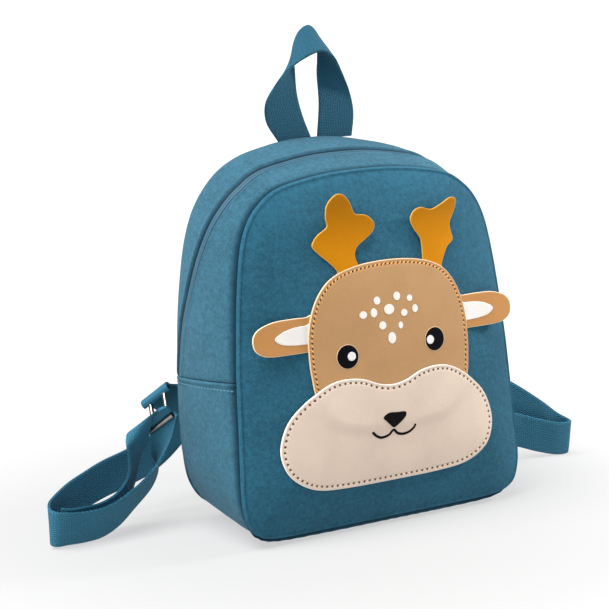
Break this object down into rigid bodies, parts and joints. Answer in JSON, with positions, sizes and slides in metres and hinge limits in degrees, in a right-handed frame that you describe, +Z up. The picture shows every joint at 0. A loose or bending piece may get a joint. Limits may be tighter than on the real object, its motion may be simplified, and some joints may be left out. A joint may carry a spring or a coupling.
{
  "type": "kids animal backpack",
  "caption": "Small soft zipped backpack with an antlered animal face on its front, a carrying loop on top and two webbing shoulder straps held by square rings.",
  "frame": {"origin": "middle of the flat bottom of the lower side band, on the floor it stands on", "axes": "+X across the body towards the strap on the right of a viewer facing the animal face, +Y from the face to the back panel, +Z up"},
  "size_m": [0.4215, 0.1402, 0.3222],
  "materials": {
    "body_cloth": "blue suede-like canvas with a fine weave",
    "side_cloth": "blue suede-like canvas with a fine weave",
    "webbing": "ribbed blue webbing",
    "zip_tape": "woven tape with small moulded teeth",
    "metal": "bright plated",
    "head_leather": "matt tan imitation leather",
    "muzzle_leather": "matt cream imitation leather",
    "antler_leather": "matt ochre imitation leather",
    "ear_leather": "matt tan imitation leather",
    "white_leather": "matt off-white imitation leather",
    "black_print": "slightly glossy black print"
  },
  "bodies": {
    "root": {"front_panel": "body_cloth", "back_panel": "body_cloth", "gusset_lower": "side_cloth", "gusset_upper_front": "body_cloth", "gusset_upper_back": "side_cloth", "zip_tape": "zip_tape", "zip_slider": "metal", "head_patch": "head_leather", "muzzle_patch": "muzzle_leather", "eye_left": "black_print", "eye_right": "black_print", "glint_left": "white_leather", "glint_right": "white_leather", "nose": "black_print", "mouth": "black_print", "ear_left": "ear_leather", "ear_right": "ear_leather", "ear_inner_left": "white_leather", "ear_inner_right": "white_leather", "antler_left": "antler_leather", "antler_right": "antler_leather", "handle": "webbing", "strap_left": "webbing", "strap_right": "webbing", "ring_left": "metal", "ring_right": "metal", "tab_left": "webbing", "tab_right": "webbing", "spot_1": "white_leather", "spot_2": "white_leather", "spot_3": "white_leather", "spot_4": "white_leather", "spot_5": "white_leather", "spot_6": "white_leather", "spot_7": "white_leather", "spot_8": "white_leather", "spot_9": "white_leather", "spot_10": "white_leather", "spot_11": "white_leather"}
  },
  "joints": []
}
